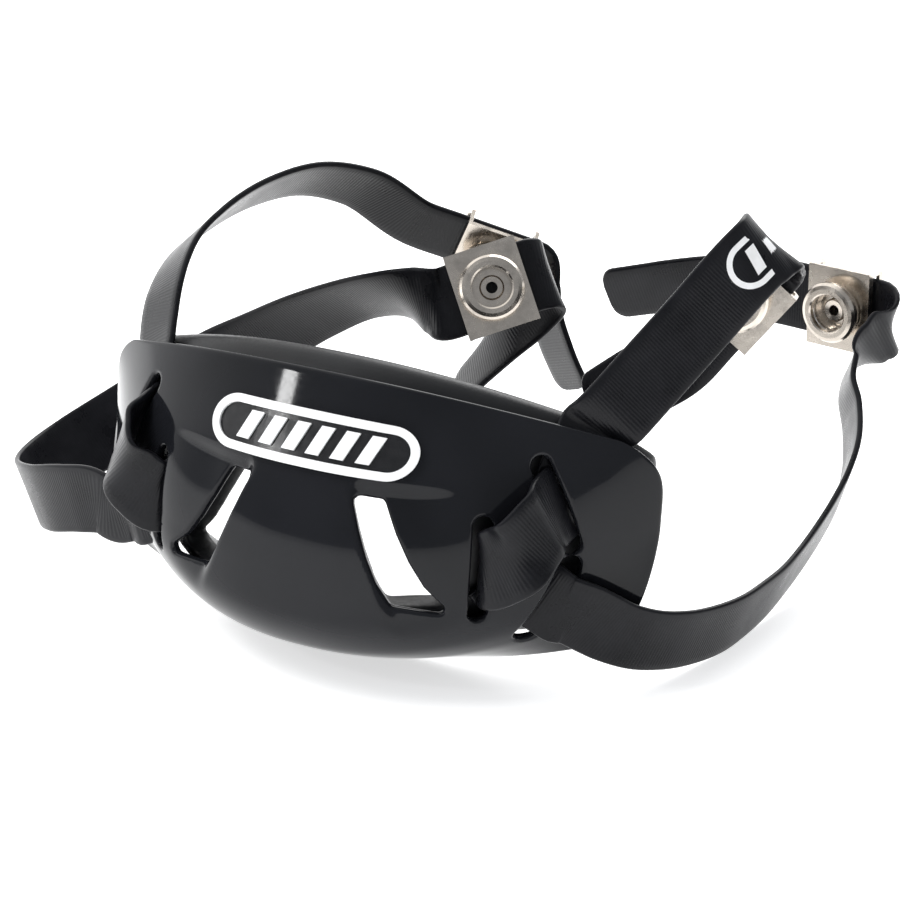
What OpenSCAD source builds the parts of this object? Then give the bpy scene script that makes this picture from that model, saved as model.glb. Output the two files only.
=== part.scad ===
// Football helmet chin strap: a hard chin cup with a padded liner, one long strap woven
// through each side of the cup, and a metal snap buckle on each of the four strap ends.
// Millimetres, +Z up. It lies on a table at z = 0 with the cup's front towards -Y.
// L and R are the left and right of someone who faces the cup's front.

/* [Cup] */
// how far the cup leans back, front edge up, in degrees
cup_pitch = 30; // [29:0.5:31]
// half of the width that the cup's curve is drawn on
cup_half = 69; // [68.5:0.1:69.5]
// thickness of the hard shell
shell_wall = 2.4; // [2.0:0.1:2.6]
// thickness of the padded liner
liner_wall = 6; // [5:0.5:7]
// depth of the dished side panels around the vents
panel_depth = 2.2; // [1.0:0.1:2.4]

/* [Straps] */
// width of the strap
strap_wide = 19; // [18:0.5:19]
// thickness of the strap
strap_thick = 1.6; // [1.2:0.1:1.6]

/* [Buckles] */
// length of a buckle plate along its strap
plate_long = 19; // [18.6:0.2:19.4]
// width of a buckle plate across its strap
plate_wide = 22.5; // [22:0.1:23]
// outer radius of a snap socket
socket_radius = 8.3; // [8:0.1:8.4]
// radius of the socket's mouth, where the helmet's stud goes in
mouth_radius = 5.2; // [5.1:0.05:5.3]

/* [Hidden] */
// everything is drawn around the cup, then moved so that the whole lies over the origin
lay = [7.7, -86.8, 5.35];
cup_drop = 0.4;
liner_top = 5.8;
wall_plate = 1;
cup_cols = 64;
cup_rows = 30;
pad_cols = 52;
pad_rows = 24;

// ---- vectors and curves ----

function unit(a) = a / norm(a);
function clamp(t) = min(1, max(0, t));
function ease(t) = let (s = clamp(t)) s * s * (3 - 2 * s);
function mix(a, b, t) = a + (b - a) * t;

// distance along a list of points, up to point i
function run(p, i) = i <= 0 ? 0 : run(p, i - 1) + norm(p[i] - p[i - 1]);
function runs(p) = [for (i = [0:len(p) - 1]) run(p, i)];

// slope of a curve through the points p at knots k, at point i
function slope(p, k, i) =
    i == 0 ? (p[1] - p[0]) / (k[1] - k[0])
    : i == len(p) - 1 ? (p[i] - p[i - 1]) / (k[i] - k[i - 1])
    : let (a = k[i] - k[i - 1], b = k[i + 1] - k[i])
        ((p[i + 1] - p[i]) / b * a + (p[i] - p[i - 1]) / a * b) / (a + b);

function span(k, t, i = 0) = i >= len(k) - 2 || t < k[i + 1] ? i : span(k, t, i + 1);

// smooth curve through the points p at knots k; straight beyond either end
function curve(p, k, t) =
    t <= k[0] ? p[0] + slope(p, k, 0) * (t - k[0])
    : t >= k[len(k) - 1] ? p[len(p) - 1] + slope(p, k, len(p) - 1) * (t - k[len(k) - 1])
    : let (i = span(k, t), h = k[i + 1] - k[i], s = (t - k[i]) / h)
        p[i] * (1 + 2 * s) * (1 - s) * (1 - s) + slope(p, k, i) * h * s * (1 - s) * (1 - s)
        + p[i + 1] * s * s * (3 - 2 * s) - slope(p, k, i + 1) * h * s * s * (1 - s);

// ---- the cup's outer surface ----

// the profile at the middle of the cup, from the top rim to the lip under the chin
chin = [[-22, 72], [-22.6, 60], [-23.5, 48], [-22.5, 36], [-18, 22], [-12.5, 12], [-4, 7], [6, 6.3],
    [16, 7.8], [26.5, 10]];
chin_knots = runs(chin) / run(chin, len(chin) - 1);

// u runs across the cup, 0 at the middle; v runs from the rim at 0 to the lip at 1
function skin(u, v) =
    let (c = curve(chin, chin_knots, v), q = pow(abs(u), 2.25))
        [u * cup_half, mix(c[0], 6 + 4 * v + 17 * v * v, q), mix(c[1], 71.5 - 41 * v - 6 * v * v, q)];

function skin_normal(u, v) =
    unit(cross(skin(u, v + 0.01) - skin(u, v - 0.01), skin(u + 0.01, v) - skin(u - 0.01, v)));

// a point at a height above the surface, in the cup's own frame
function above(u, v, h) = skin(u, v) + skin_normal(u, v) * h;

// how far across the shell reaches at v: its ends are rounded
function reach(v) = 0.95 + 0.155 * sqrt(max(0, 1 - pow(abs(2 * v - 1), 4)));

// the dished side panels: a crisp step at the top and beside the vent, fading out and down
function dish(u, v) =
    let (a = abs(u), edge = 0.165 + max(0, v - 0.26) * 0.53)
        panel_depth * ease((v - 0.225) / 0.06) * (1 - ease((v - 0.5) / 0.16))
        * ease((a - edge) / 0.08) * (1 - ease((a - 0.36) / 0.26));

// the cup's own frame, leaned back
function lean(p) =
    let (c = cos(cup_pitch), s = sin(cup_pitch)) [p[0], p[1] * c + p[2] * s, p[2] * c - p[1] * s - cup_drop];

// ---- sheets and ribbons ----

// closed sheet between two grids of points, each a list of rows
module sheet(front, back) {
    rows = len(front);
    cols = len(front[0]);
    n = rows * cols;
    function f(r, c) = r * cols + c;
    faces = concat(
        [for (r = [0:rows - 2], c = [0:cols - 2], k = [0, 1])
            k == 0 ? [f(r, c), f(r + 1, c), f(r, c + 1)] : [f(r, c + 1), f(r + 1, c), f(r + 1, c + 1)]],
        [for (r = [0:rows - 2], c = [0:cols - 2], k = [0, 1])
            k == 0 ? [n + f(r, c), n + f(r, c + 1), n + f(r + 1, c)]
            : [n + f(r, c + 1), n + f(r + 1, c + 1), n + f(r + 1, c)]],
        [for (c = [0:cols - 2], k = [0, 1])
            k == 0 ? [f(0, c), f(0, c + 1), n + f(0, c)] : [n + f(0, c), f(0, c + 1), n + f(0, c + 1)]],
        [for (c = [0:cols - 2], k = [0, 1])
            k == 0 ? [f(rows - 1, c), n + f(rows - 1, c), f(rows - 1, c + 1)]
            : [n + f(rows - 1, c), n + f(rows - 1, c + 1), f(rows - 1, c + 1)]],
        [for (r = [0:rows - 2], k = [0, 1])
            k == 0 ? [f(r, 0), n + f(r, 0), f(r + 1, 0)] : [n + f(r, 0), n + f(r + 1, 0), f(r + 1, 0)]],
        [for (r = [0:rows - 2], k = [0, 1])
            k == 0 ? [f(r, cols - 1), f(r + 1, cols - 1), n + f(r, cols - 1)]
            : [n + f(r, cols - 1), f(r + 1, cols - 1), n + f(r + 1, cols - 1)]]
    );
    polyhedron(points = concat([for (row = front) each row], [for (row = back) each row]), faces = faces);
}

// ribbon with a rectangular section: middles m, half width vectors wide and half thicknesses h
module ribbon(m, wide, h) {
    n = len(m);
    t = [for (i = [0:n - 1]) unit(m[min(n - 1, i + 1)] - m[max(0, i - 1)])];
    w = [for (i = [0:n - 1]) unit(wide[i] - t[i] * (t[i] * wide[i])) * norm(wide[i])];
    s = [for (i = [0:n - 1]) unit(cross(t[i], w[i])) * h[i]];
    points = [for (i = [0:n - 1])
        each [m[i] + w[i] + s[i], m[i] - w[i] + s[i], m[i] - w[i] - s[i], m[i] + w[i] - s[i]]];
    side = [for (i = [0:n - 2], j = [0:3], k = [0, 1])
        let (a = 4 * i + j, b = 4 * i + (j + 1) % 4)
            k == 0 ? [a, b, a + 4] : [b, b + 4, a + 4]];
    e = 4 * n - 4;
    ends = [[0, 3, 1], [1, 3, 2], [e, e + 1, e + 3], [e + 1, e + 2, e + 3]];
    polyhedron(points = points, faces = concat(side, ends));
}

// ---- the cup ----

module shell_sheet() {
    function at(r, c, deep) =
        let (v = r / cup_rows, u = (2 * c / cup_cols - 1) * reach(v)) lean(above(u, v, -dish(u, v) - deep));
    sheet([for (r = [0:cup_rows]) [for (c = [0:cup_cols]) at(r, c, 0)]],
        [for (r = [0:cup_rows]) [for (c = [0:cup_cols]) at(r, c, shell_wall)]]);
}

// a cut through the wall along a short list of [u, v] corners, deep towards the inside
module wall_cut(corners, radius, high, deep) {
    hull() {
        for (p = corners) {
            translate(lean(above(p[0], p[1], high))) sphere(r = radius, $fn = 16);
            translate(lean(above(p[0], p[1], -deep))) sphere(r = radius, $fn = 16);
        }
    }
}

// the vent beside the chin, cut in four short stretches so that its sides curve
vent_in = [[0.225, 0.288], [0.262, 0.355], [0.298, 0.42], [0.338, 0.485], [0.385, 0.54]];
vent_out = [[0.295, 0.29], [0.35, 0.37], [0.405, 0.445], [0.462, 0.515], [0.525, 0.57]];
module vent(side, grow, high, deep) {
    for (i = [0:3])
        wall_cut([for (p = [vent_in[i], vent_in[i + 1], vent_out[i], vent_out[i + 1]]) [side * p[0], p[1]]],
            1 + grow, high, deep);
}

// the three strap slots on each side: [one end, other end, half width]
slots = [
    [[0.635, 0.345], [0.637, 0.61], 2.55],
    [[0.767, 0.155], [0.885, 0.465], 2.65],
    [[0.885, 0.56], [0.748, 0.785], 3.15]
];

module cup_shell() {
    color([0.03, 0.03, 0.035]) difference() {
        shell_sheet();
        for (side = [-1, 1]) {
            vent(side, 0.4, 3, 8);
            for (s = slots)
                wall_cut([for (p = [s[0], s[1]]) [side * p[0], p[1]]], s[2], 2.5, 6);
        }
    }
}

// the liner stands proud of the shell at the rim and at both ends, with rounded edges
function pad(t) = sqrt(max(0, 1 - pow(1 - clamp(t), 2)));
function liner_plump(r, c) =
    let (across = min(c, pad_cols - c) / 2.2, down = min(r, pad_rows - r) / 1.4)
        max(0.12, min(pad(across), pad(down)));

// how far across the liner reaches, from its top row at 0 to its bottom row at 1
function pad_reach(t) = 0.93 + 0.2 * sqrt(max(0, 1 - pow(abs(2 * t - 1), 4)));

module cup_liner() {
    middle = liner_top + liner_wall / 2;
    function at(r, c, s) =
        let (v = mix(-0.06, 1.0, r / pad_rows), u = (2 * c / pad_cols - 1) * pad_reach(r / pad_rows),
             bow = liner_plump(r, c) * liner_wall / 2)
            lean(above(u, v, -middle + s * bow));
    color([0.045, 0.045, 0.05]) difference() {
        sheet([for (r = [0:pad_rows]) [for (c = [0:pad_cols]) at(r, c, 1)]],
            [for (r = [0:pad_rows]) [for (c = [0:pad_cols]) at(r, c, -1)]]);
        for (side = [-1, 1]) vent(side, 1.4, -2, 14);
    }
}

// ---- the badge ----

badge_v = 0.166;
badge_half = 27.3;
badge_tall = 6.9;
// a point on the badge: x across, z up from its middle, h above the shell
function badge_at(x, z, h) = lean(above(x / cup_half, badge_v - z / 102, h));

// point k of n around the badge's outline, r in from its edge
function pill(r, k, n) =
    let (e = badge_tall - r, straight = badge_half - badge_tall,
         q = n / 4, i = floor(k / q), f = (k - i * q) / q)
        i == 0 ? [straight + e * cos(90 - 180 * f), e * sin(90 - 180 * f)]
        : i == 1 ? [straight * (1 - 2 * f), -e]
        : i == 2 ? [-straight + e * cos(-90 - 180 * f), e * sin(-90 - 180 * f)]
        : [straight * (2 * f - 1), e];

module badge_base() {
    n = 40;
    long = badge_half - 0.4;
    function high(x) =
        let (b = badge_tall - 0.4, o = max(0, abs(x) - (long - b))) sqrt(max(0.04, b * b - o * o));
    function at(i, z, h) = let (x = -long * cos(180 * i / n)) badge_at(x, z * high(x), h);
    color([0.02, 0.02, 0.02])
        sheet([for (z = [1:-0.5:-1]) [for (i = [0:n]) at(i, z, 0.7)]],
            [for (z = [1:-0.5:-1]) [for (i = [0:n]) at(i, z, 0.15)]]);
}

module badge_ring() {
    n = 96;
    loop = [for (k = [0:n - 1]) let (a = pill(0, k, n), b = pill(2.1, k, n))
        each [badge_at(a[0], a[1], 1.4), badge_at(b[0], b[1], 1.4),
            badge_at(b[0], b[1], 0.8), badge_at(a[0], a[1], 0.8)]];
    color([0.92, 0.92, 0.92]) polyhedron(points = loop,
        faces = [for (k = [0:n - 1], j = [0:3], m = [0, 1])
            let (i = (j + 1) % 4, next = (4 * k + 4) % (4 * n),
                 a = 4 * k + j, b = 4 * k + i, c = next + j, d = next + i)
                m == 0 ? [a, b, c] : [b, d, c]]);
}

// plain slanted bars, six in a row
module badge_bars() {
    color([0.92, 0.92, 0.92]) for (i = [-2.5:1:2.5])
        let (x = i * 6.4, s = 1.3, b = 1.7, z = 3.6)
            sheet([for (t = [1, 0, -1]) [for (e = [-b, 0, b]) badge_at(x + e + s * t, z * t, 1.35)]],
                [for (t = [1, 0, -1]) [for (e = [-b, 0, b]) badge_at(x + e + s * t, z * t, 0.8)]]);
}

// ---- the straps ----

// where a strap leaves the cup and can flex: [point, direction, width direction]
// upper straps leave over the rim, lower ones out of the lowest slot
function flex_upper(side) =
    side > 0 ? [[65, 43, 66], [0.42, 0.64, 0.64], [-0.65, -0.34, 0.68]]
    : [[-61.5, 43, 65], [-0.12, 0.52, 0.85], [0.78, -0.42, 0.47]];
function flex_lower(side) =
    side > 0 ? [[64, 27.1, 17.2], [0.62, 0.56, -0.55], [0.5, 0.12, 0.86]]
    : [[-65, 26.8, 17.8], [-0.82, 0.2, -0.45], [-0.45, 0.12, 0.88]];

// one side's weave: [upper edge u, v, lower edge u, v, height above the shell], from the lowest
// slot, behind the wall, out of the front slot, over the bridge, in again and up to the rim
weave = [
    [0.913, 0.593, 0.770, 0.820, 2.4],
    [0.885, 0.56, 0.748, 0.785, -0.6],
    [0.857, 0.527, 0.726, 0.75, -3.4],
    [0.825, 0.5, 0.71, 0.73, -3.5],
    [0.75, 0.42, 0.685, 0.68, -3.4],
    [0.695, 0.365, 0.68, 0.63, -3.4],
    [0.667, 0.352, 0.67, 0.618, -3.45],
    [0.647, 0.347, 0.649, 0.612, -2.9],
    [0.64, 0.346, 0.642, 0.611, -1.2],
    [0.647, 0.343, 0.65, 0.608, 1],
    [0.668, 0.315, 0.68, 0.595, 4],
    [0.69, 0.265, 0.745, 0.57, 7.6],
    [0.72, 0.21, 0.82, 0.51, 6.4],
    [0.737, 0.177, 0.856, 0.474, 3],
    [0.767, 0.155, 0.885, 0.465, -0.4],
    [0.797, 0.133, 0.914, 0.45, -3.1],
    [0.8, 0.1, 0.935, 0.36, -3.3],
    [0.8, 0.06, 0.965, 0.24, -3.5],
    [0.8, 0.02, 0.995, 0.10, -3.6],
    [0.803, -0.02, 1.01, 0.0, -3.8]
];
weave_knots = [for (i = [0:len(weave) - 1]) i];
weave_steps = 2;

function weave_edge(t, side, k) =
    let (p = curve(weave, weave_knots, t)) lean(above(side * p[k], p[k + 1], p[4]));

module weave(side) {
    low = flex_lower(side);
    high = flex_upper(side);
    n = (len(weave) - 1) * weave_steps;
    a = [for (i = [0:n]) weave_edge(i / weave_steps, side, 0)];
    b = [for (i = [0:n]) weave_edge(i / weave_steps, side, 2)];
    m = concat([low[0] - unit(low[1]) * 1.15, low[0] - unit(low[1]) * 2.4], (a + b) / 2,
        [high[0] - unit(high[1]) * 2.4, high[0] - unit(high[1]) * 1.15]);
    w = concat([low[2], low[2]], a - b, [high[2], high[2]]);
    color([0.06, 0.06, 0.065])
        ribbon(m, [for (e = w) unit(e) * strap_wide / 2], [for (e = w) strap_thick / 2]);
}

// a free strap: rows of [x, y, z, width direction]; the first is where it leaves the cup and
// its end is half round there, the last is the tail's tip
module free_strap(path, steps) {
    mid = [for (p = path) [p[0], p[1], p[2]]];
    wide = [for (p = path) unit([p[3], p[4], p[5]])];
    k = runs(mid);
    long = k[len(k) - 1];
    half = strap_thick / 2;
    stations = concat([for (a = [80, 60, 30]) -half * sin(a)],
        [for (i = [0:steps]) mix(0, long - 4, i / steps)], [long]);
    m = [for (t = stations) curve(mid, k, t)];
    w = [for (t = stations)
        let (d = unit(curve(mid, k, t + 0.3) - curve(mid, k, t - 0.3)), a = curve(wide, k, max(0, t)))
            unit(a - d * (a * d)) * strap_wide / 2 * (t == long ? 0.45 : 1)];
    h = [for (t = stations) t < 0 ? sqrt(half * half - t * t) : half];
    color([0.06, 0.06, 0.065]) ribbon(m, w, h);
}

// rotation that carries x to a and z to the part of b square to a
function frame(a, b) =
    let (x = unit(a), z = unit(b - x * (x * b)), y = cross(z, x))
        [[x[0], y[0], z[0], 0], [x[1], y[1], z[1], 0], [x[2], y[2], z[2], 0], [0, 0, 0, 1]];

// the strap starts straight where it flexes
function start(f) = [for (s = [0, 1.5, 3])
    let (p = f[0] + unit(f[1]) * s, w = f[2]) [p[0], p[1], p[2], w[0], w[1], w[2]]];

// each buckle: [middle of the strap in it, direction towards the tail, way the socket faces]
buckle_ul = [[-7, 127, 64], [0.88, 0.36, -0.32], [0.19, -0.87, -0.45]];
buckle_ll = [[8, 93, 68], [0.8, 0.53, 0.3], [0.38, -0.82, 0.42]];
buckle_ur = [[76, 91, 80], [-0.56, -0.3, -0.77], [0.23, -0.95, 0.21]];
buckle_lr = [[79.5, 166.5, 50], [-0.97, 0.23, -0.06], [-0.23, -0.97, 0.05]];

// the strap through a buckle is straight, from s before its middle to e after it
function across(b) = let (x = unit(b[1]), z = unit(b[2] - x * (x * b[2]))) cross(z, x);
function through(b, s, turn) =
    let (p = b[0] + unit(b[1]) * s, w = across(b) * turn) [p[0], p[1], p[2], w[0], w[1], w[2]];

path_ul = concat(start(flex_upper(-1)), [
    [-63, 51, 73.5, 0.74, -0.43, 0.51],
    [-63, 59, 78.5, 0.69, -0.43, 0.58],
    [-60.5, 69, 82.5, 0.64, -0.43, 0.64],
    [-54.5, 84.5, 86.5, 0.62, -0.41, 0.67],
    [-46.5, 98, 87, 0.61, -0.39, 0.69],
    [-38, 108, 83, 0.6, -0.34, 0.72]],
    [for (s = [-21, -11.5, -10, 10, 11.2]) through(buckle_ul, s, 1)], [
    [5, 131.8, 58, 0.55, -0.5, 0.67],
    [6, 131.5, 54.5, 0.65, -0.55, 0.53],
    [7.5, 130, 48, 0.72, -0.6, 0.35],
    [11.5, 128.5, 39, 0.75, -0.6, 0.3],
    [17.5, 128, 28, 0.75, -0.6, 0.3]]);

path_ll = concat(start(flex_lower(-1)), [
    [-72.5, 28.6, 17, -0.4, 0.05, 0.92],
    [-82.5, 31, 14.6, -0.38, 0.04, 0.93],
    [-95.5, 37, 9.3, -0.37, 0.04, 0.93],
    [-105.5, 47.5, 5, -0.41, 0, 0.91],
    [-109.5, 61.5, 3.4, -0.5, -0.02, 0.86],
    [-107.5, 75.5, 5.2, -0.57, -0.01, 0.82],
    [-99.5, 86.5, 11, -0.6, 0, 0.8],
    [-88, 94, 19.5, -0.59, -0.05, 0.81],
    [-75, 97, 29.5, -0.56, -0.18, 0.8],
    [-60.5, 97.5, 39, -0.53, -0.36, 0.77],
    [-46.5, 96.5, 48.5, -0.49, -0.53, 0.69],
    [-31.5, 94.5, 57, -0.44, -0.62, 0.65],
    [-20, 91, 61.5, -0.46, -0.5, 0.74],
    [-9.5, 87.3, 63.5, -0.47, -0.05, 0.87]],
    [for (s = [-12.5, -10.3, 10, 11.2]) through(buckle_ll, s, 1)], [
    [19, 102, 71, -0.5, 0.28, 0.81],
    [19, 106, 67.5, -0.57, 0.42, 0.7],
    [14.5, 107, 59.5, -0.65, 0.6, 0.47],
    [8, 103.5, 50.5, -0.55, 0.78, 0.3],
    [2, 101, 42, -0.48, 0.86, 0.12],
    [-4, 98.5, 34, -0.45, 0.88, 0.05]]);

path_ur = concat(start(flex_upper(1)), [
    [76.5, 60.5, 83.5, -0.63, -0.33, 0.7],
    [85, 73, 96.5, -0.63, -0.33, 0.7],
    [86.5, 77, 98.5, -0.62, -0.38, 0.68],
    [86.5, 82, 98.5, -0.62, -0.4, 0.68],
    [85.5, 87.5, 95.5, -0.66, -0.36, 0.66],
    [84, 92.5, 91.8, -0.74, -0.18, 0.64]],
    [for (s = [-11.5, -10, 12, 23]) through(buckle_ur, s, -1)], [
    [54, 82, 55, -0.78, 0, 0.62],
    [43, 81.5, 45.5, -0.75, 0.05, 0.66]]);

path_lr = concat(start(flex_lower(1)), [
    [70, 32.4, 12, 0.45, 0.06, 0.89],
    [75.5, 37, 9, 0.4, 0.03, 0.92],
    [81, 44.5, 6.5, 0.37, 0.01, 0.94],
    [85.5, 54, 4.7, 0.34, -0.01, 0.94],
    [89, 63.5, 4, 0.32, -0.05, 0.94],
    [91, 73.5, 4, 0.32, -0.1, 0.94],
    [92.5, 83.5, 4.5, 0.33, -0.16, 0.93],
    [93.5, 93.5, 6.1, 0.33, -0.23, 0.92],
    [94.5, 103.5, 8.8, 0.32, -0.31, 0.9],
    [95.5, 113.5, 12.6, 0.31, -0.38, 0.87],
    [96, 123.5, 17.3, 0.31, -0.43, 0.85],
    [95, 133, 23, 0.33, -0.46, 0.82],
    [91.5, 142, 29.5, 0.35, -0.52, 0.78],
    [87.5, 148.5, 35.5, 0.36, -0.62, 0.7],
    [87.5, 153.5, 40.5, 0.33, -0.6, 0.73],
    [92, 157.5, 45.5, 0.1, -0.27, 0.96],
    [94, 161, 48.5, 0, -0.06, 1]],
    [for (s = [-12.3, -10.7, 12, 20]) through(buckle_lr, s, -1)], [
    [42, 174.5, 46, 0.08, -0.2, 0.97],
    [26, 174.5, 42.5, 0.15, -0.33, 0.93],
    [8.5, 171.5, 38, 0.17, -0.36, 0.92]]);

// ---- the snap buckles ----

// a buckle's frame: x along the strap, y across it, z the way the socket faces
module placed(b) {
    translate(b[0]) multmatrix(frame(b[1], b[2])) children();
}

// bent plate with a window in each end for the strap, teeth on the end it comes in at
module buckle_plate() {
    deep = 3.4;
    top = 3.6;
    color([0.75, 0.73, 0.7]) difference() {
        union() {
            translate([-plate_long / 2, -plate_wide / 2, top - wall_plate])
                cube([plate_long, plate_wide, wall_plate]);
            for (s = [-1, 1])
                translate([s * (plate_long / 2 - wall_plate / 2) - wall_plate / 2, 0, 0]) rotate([0, 90, 0])
                linear_extrude(wall_plate) hull() {
                    translate([-top + 0.5, 0]) square([1, plate_wide], center = true);
                    for (y = [-1, 1]) translate([deep - 2, y * (plate_wide / 2 - 2)]) circle(r = 2, $fn = 24);
                }
            for (i = [-3:3]) translate([-plate_long / 2 + 0.1, i * 2.5, -2.5]) sphere(r = 0.8, $fn = 16);
        }
        for (s = [-1, 1]) translate([s * (plate_long / 2 - wall_plate / 2), 0, 0.05])
            cube([wall_plate + 2, 20.4, 3.1], center = true);
        translate([0, 0, top - 2]) cylinder(r = 2.5, h = 4, $fn = 48);
    }
}

// turned shell with a rolled rim, a straight mouth and a groove for the spring
module snap_socket() {
    color([0.75, 0.73, 0.7]) rotate_extrude($fn = 96) polygon([
        [2.55, 3.7], [socket_radius - 1.6, 3.7], [socket_radius - 1.3, 4.1], [socket_radius - 1.3, 6],
        [socket_radius, 6.9], [socket_radius, 8], [socket_radius - 0.6, 8.9], [socket_radius - 1.5, 9.2],
        [mouth_radius + 0.4, 9.2], [mouth_radius, 8.9], [mouth_radius, 7.5], [mouth_radius + 1.15, 7.3],
        [mouth_radius + 1.15, 6.1], [mouth_radius, 5.9], [mouth_radius, 4.7], [2.55, 4.7]]);
}

module socket_spring() {
    color([0.6, 0.6, 0.6]) translate([0, 0, 6.7]) rotate_extrude($fn = 64)
        translate([mouth_radius + 0.6, 0]) circle(r = 0.45, $fn = 16);
}

module socket_eyelet() {
    color([0.8, 0.78, 0.74]) rotate_extrude($fn = 64) polygon([
        [1.5, 1.9], [3.8, 1.9], [4, 2.2], [3.8, 2.5], [2.4, 2.5], [2.4, 4.8], [3, 4.8], [3.2, 5.2],
        [2.8, 5.6], [1.5, 5.4]]);
}

// ---- the whole, laid on the table ----

module part(name) {
    translate(lay) children();
}

part("cup_shell") cup_shell();
part("cup_liner") cup_liner();
part("badge_base") badge_base();
part("badge_ring") badge_ring();
part("badge_bars") badge_bars();
part("weave_left") weave(-1);
part("weave_right") weave(1);
part("upper_left_strap") free_strap(path_ul, 52);
part("upper_right_strap") free_strap(path_ur, 44);
part("lower_left_strap") free_strap(path_ll, 72);
part("lower_right_strap") free_strap(path_lr, 72);
part("upper_left_plate") placed(buckle_ul) buckle_plate();
part("upper_left_socket") placed(buckle_ul) snap_socket();
part("upper_left_spring") placed(buckle_ul) socket_spring();
part("upper_left_eyelet") placed(buckle_ul) socket_eyelet();
part("upper_right_plate") placed(buckle_ur) buckle_plate();
part("upper_right_socket") placed(buckle_ur) snap_socket();
part("upper_right_spring") placed(buckle_ur) socket_spring();
part("upper_right_eyelet") placed(buckle_ur) socket_eyelet();
part("lower_left_plate") placed(buckle_ll) buckle_plate();
part("lower_left_socket") placed(buckle_ll) snap_socket();
part("lower_left_spring") placed(buckle_ll) socket_spring();
part("lower_left_eyelet") placed(buckle_ll) socket_eyelet();
part("lower_right_plate") placed(buckle_lr) buckle_plate();
part("lower_right_socket") placed(buckle_lr) snap_socket();
part("lower_right_spring") placed(buckle_lr) socket_spring();
part("lower_right_eyelet") placed(buckle_lr) socket_eyelet();
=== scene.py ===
"""Looks of the football helmet chin strap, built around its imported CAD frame.

The shell, the liner and the straps are new meshes on the same surfaces and routes as the CAD
part, at a finer step; the badge and the metal snap buckles are the CAD nodes with bevels and
materials. Shapes are worked out in millimetres in the cup's own frame, and MM turns them into
metres as a mesh is made.
"""

import math

import bpy
import numpy as np
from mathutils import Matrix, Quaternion, Vector


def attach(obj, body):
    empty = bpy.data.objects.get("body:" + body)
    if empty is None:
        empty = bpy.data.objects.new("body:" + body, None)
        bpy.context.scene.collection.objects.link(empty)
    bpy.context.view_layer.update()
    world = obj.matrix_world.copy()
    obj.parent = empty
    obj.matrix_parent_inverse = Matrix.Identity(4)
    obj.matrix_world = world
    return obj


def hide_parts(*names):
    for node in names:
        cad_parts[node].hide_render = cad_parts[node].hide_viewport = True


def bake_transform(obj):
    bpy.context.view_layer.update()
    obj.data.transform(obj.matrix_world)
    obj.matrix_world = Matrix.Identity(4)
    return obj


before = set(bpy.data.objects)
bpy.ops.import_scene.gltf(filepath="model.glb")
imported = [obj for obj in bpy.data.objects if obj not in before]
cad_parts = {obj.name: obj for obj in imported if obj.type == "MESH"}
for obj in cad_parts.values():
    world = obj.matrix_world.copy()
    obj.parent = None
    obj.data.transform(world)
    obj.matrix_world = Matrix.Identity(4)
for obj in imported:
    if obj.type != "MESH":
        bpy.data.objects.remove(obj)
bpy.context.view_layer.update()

MM = 0.001
LAY = np.array([7.7, -86.8, 5.35])
CUP_PITCH = math.radians(30)
CUP_DROP = 0.4
CUP_HALF = 69
SHELL_WALL = 2.4
LINER_TOP = 5.8
LINER_WALL = 6
PANEL_DEPTH = 2.2
STRAP_WIDE = 19
STRAP_THICK = 1.6
LIP = 0.9  # radius of the shell's round edges

# rough size of the shell over its surface, and mm for one step of u near its ends
SHELL_LONG = 200
SHELL_TALL = 100
END_SCALE = 90

# the liner starts a little above the shell's rim, and its openings are wider by a margin
LINER_START = -0.06
LINER_MARGIN = 2.6
LINER_LIP = 1.6
# share of the liner's height, and of its half-width, over which its edge rolls
ROLL_DOWN = 1.4 / 24
ROLL_SIDE = 2.2 / 26


# ---- the camera ----

def make_camera():
    azimuth = math.radians(25)
    elevation = math.radians(25)
    distance = 0.8
    target = Vector((0.0312, -0.0506, 0.05435))
    back = Vector((math.sin(azimuth) * math.cos(elevation), -math.cos(azimuth) * math.cos(elevation),
                   math.sin(elevation)))
    data = bpy.data.cameras.new("camera")
    data.lens = 131.2
    data.sensor_width = 36
    data.clip_start = 0.01
    data.clip_end = 20
    camera = bpy.data.objects.new("camera", data)
    bpy.context.scene.collection.objects.link(camera)
    camera.rotation_mode = "QUATERNION"
    camera.location = target + back * distance
    roll = Quaternion((0, 0, 1), math.radians(1))
    camera.rotation_quaternion = (-back).to_track_quat("-Z", "Y") @ roll
    bpy.context.scene.camera = camera


# ---- vectors and curves ----

def unit(a):
    a = np.asarray(a, float)
    return a / np.linalg.norm(a, axis=-1, keepdims=True)


def ease(t):
    t = np.clip(t, 0, 1)
    return t * t * (3 - 2 * t)


def mix(a, b, t):
    return a + (b - a) * t


def runs(points):
    """Distance along a list of points, at each point."""
    return np.concatenate([[0], np.cumsum(np.linalg.norm(np.diff(points, axis=0), axis=1))])


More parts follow.
